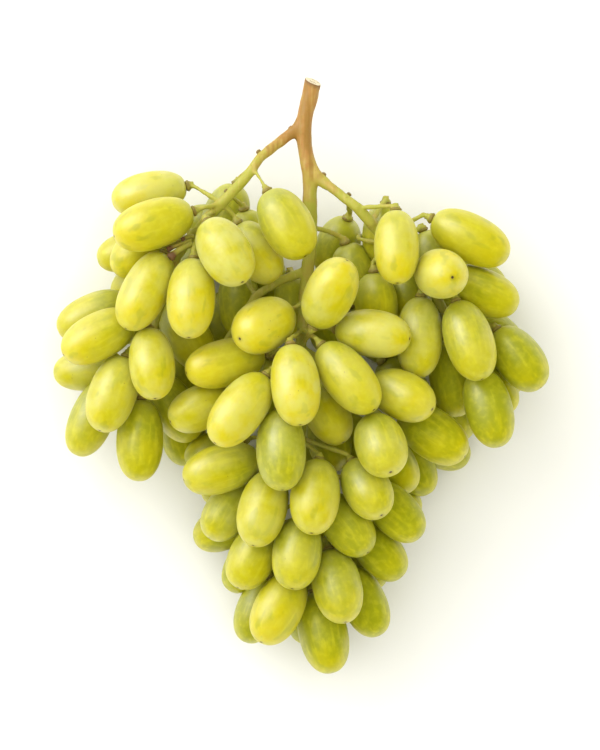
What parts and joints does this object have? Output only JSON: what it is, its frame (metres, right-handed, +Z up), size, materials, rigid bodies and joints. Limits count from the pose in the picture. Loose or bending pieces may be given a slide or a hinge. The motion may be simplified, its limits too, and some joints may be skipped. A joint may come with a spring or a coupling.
{
  "type": "bunch of grapes",
  "caption": "Bunch of green seedless table grapes with long oval berries on a branching stem, cut from the vine and laid on its back.",
  "frame": {"origin": "middle of the box's underside, on the surface that the bunch lies on", "axes": "+Y runs from the tail of the bunch to the cut end of its stem, +X to the right shoulder as seen from above, +Z up from the surface"},
  "size_m": [0.189, 0.228, 0.0841],
  "materials": {
    "grape_skin": "waxy, slightly translucent yellow-green skin over soft flesh",
    "grape_stem": "dull green stem, tan and brown towards its cut end"
  },
  "bodies": {
    "root": {"berries_clump_01": "grape_skin", "berries_clump_02": "grape_skin", "berries_clump_03": "grape_skin", "berries_clump_04": "grape_skin", "berries_clump_05": "grape_skin", "berries_clump_06": "grape_skin", "berries_clump_07": "grape_skin", "berries_clump_08": "grape_skin", "berries_clump_09": "grape_skin", "berries_clump_10": "grape_skin", "berries_clump_11": "grape_skin", "berries_clump_12": "grape_skin", "berries_clump_13": "grape_skin", "berry_heart_01": "grape_skin", "berry_heart_02": "grape_skin", "berry_heart_03": "grape_skin", "berry_heart_04": "grape_skin", "berry_heart_05": "grape_skin", "berry_heart_06": "grape_skin", "berry_heart_07": "grape_skin", "berry_heart_08": "grape_skin", "berry_heart_09": "grape_skin", "berry_heart_10": "grape_skin", "berry_heart_11": "grape_skin", "berry_heart_12": "grape_skin", "berry_left_shoulder_01": "grape_skin", "berry_left_shoulder_02": "grape_skin", "berry_left_shoulder_03": "grape_skin", "berry_left_shoulder_04": "grape_skin", "berry_left_shoulder_05": "grape_skin", "berry_left_shoulder_06": "grape_skin", "berry_left_shoulder_07": "grape_skin", "berry_left_shoulder_08": "grape_skin", "berry_left_shoulder_09": "grape_skin", "berry_left_shoulder_10": "grape_skin", "berry_neck_01": "grape_skin", "berry_neck_02": "grape_skin", "berry_right_shoulder_01": "grape_skin", "berry_right_shoulder_02": "grape_skin", "berry_right_shoulder_03": "grape_skin", "berry_right_shoulder_04": "grape_skin", "berry_right_shoulder_05": "grape_skin", "berry_right_shoulder_06": "grape_skin", "berry_right_shoulder_07": "grape_skin", "berry_right_shoulder_08": "grape_skin", "berry_right_shoulder_09": "grape_skin", "berry_tail_01": "grape_skin", "berry_tail_02": "grape_skin", "berry_tail_03": "grape_skin", "berry_tail_04": "grape_skin", "berry_tail_05": "grape_skin", "berry_tail_06": "grape_skin", "berry_tail_07": "grape_skin", "berry_tail_08": "grape_skin", "berry_tail_09": "grape_skin", "berry_tail_10": "grape_skin", "berry_tail_11": "grape_skin", "berry_tail_12": "grape_skin", "berry_tail_13": "grape_skin", "stem": "grape_stem"}
  },
  "joints": []
}
